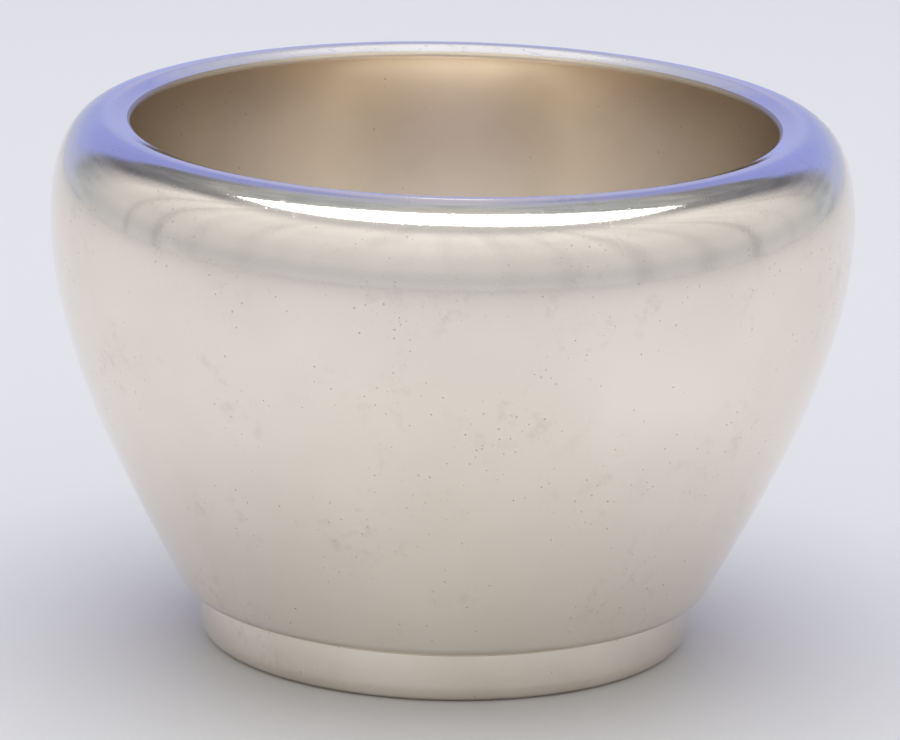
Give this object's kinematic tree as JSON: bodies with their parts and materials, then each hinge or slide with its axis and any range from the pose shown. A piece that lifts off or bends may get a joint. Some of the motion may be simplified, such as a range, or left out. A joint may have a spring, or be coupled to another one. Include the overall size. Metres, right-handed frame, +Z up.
{
  "type": "sugar bowl",
  "caption": "Lidless round silver sugar bowl: a tapering body with a full turned-in shoulder, a rim that slopes into a wide mouth, and a low soldered foot ring.",
  "frame": {"origin": "centre of the level face of the foot ring that the bowl stands on", "axes": "+Z up along the axis of revolution, through the mouth; the bowl is round, so X and Y are any two level directions"},
  "size_m": [0.1, 0.1, 0.0667],
  "materials": {
    "body_silver": "polished silver with light handling wear, warm toned inside",
    "foot_silver": "polished silver with light handling wear",
    "solder": "dull hard solder"
  },
  "bodies": {
    "root": {"bowl_body": "body_silver", "foot_ring": "foot_silver", "foot_solder": "solder"}
  },
  "joints": []
}
